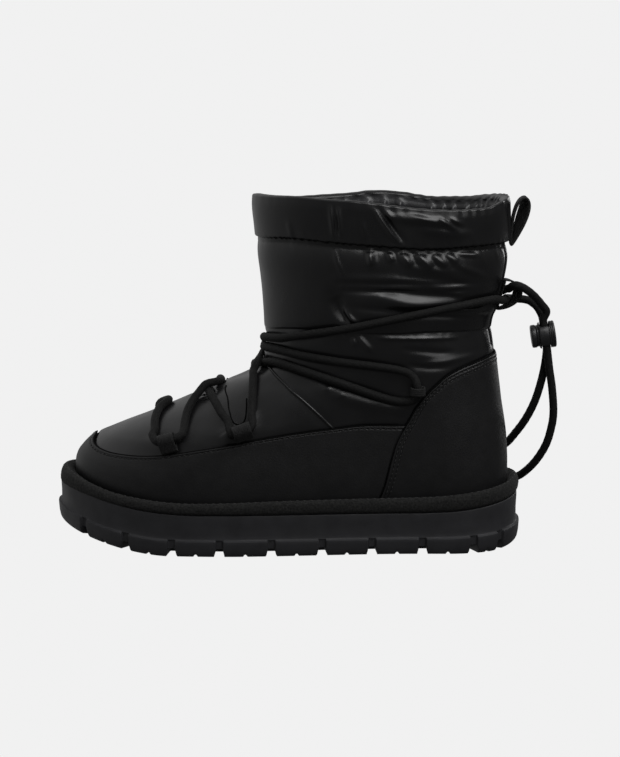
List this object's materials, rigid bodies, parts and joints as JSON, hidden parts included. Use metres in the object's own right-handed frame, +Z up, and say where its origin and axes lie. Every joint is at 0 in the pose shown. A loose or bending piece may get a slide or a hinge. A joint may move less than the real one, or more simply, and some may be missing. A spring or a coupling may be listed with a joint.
{
  "type": "winter boot",
  "caption": "Left winter boot with a padded nylon upper, leather mudguard and heel counter, lugged rubber sole, round wrap lace and a cord lock behind the heel.",
  "frame": {"origin": "on the floor, under the middle of the boot's box without its lace tail and cord lock", "axes": "+X from toe to heel, -Y towards the outer side of the foot, +Z up the shaft"},
  "size_m": [0.3061, 0.1092, 0.2136],
  "materials": {
    "nylon": "satin woven nylon with a soft sheen",
    "leather": "fine grained, satin",
    "rubber": "matte moulded",
    "band": "matte, napped",
    "webbing": "matte ribbed weave",
    "lace": "matte round braid",
    "lock": "matte moulded",
    "footbed": "matte felt"
  },
  "bodies": {
    "boot": {"back_lace_loop": "webbing", "cord_lock_barrel": "lock", "heel_counter": "leather", "insole": "footbed", "lace_ankle_wraps": "lace", "lace_loop_front_lateral": "webbing", "lace_loop_front_medial": "webbing", "lace_loop_heel_lateral": "webbing", "lace_loop_heel_medial": "webbing", "lace_loop_rear_lateral": "webbing", "lace_loop_rear_medial": "webbing", "lace_tail": "lace", "lace_toe_bar": "lace", "lace_vamp_cross": "lace", "mudguard": "leather", "outsole": "rubber", "pull_loop": "webbing", "upper": "nylon", "welt": "band"},
    "plunger": {"cord_lock_plunger": "lock"}
  },
  "joints": [
    {"name": "plunger_press", "type": "slide", "parent": "boot", "child": "plunger", "axis": [0.9903, 0, 0.1392], "range_m": [0, 0.001], "stiffness_N_per_m": 300, "springref_m": -0.005}
  ]
}
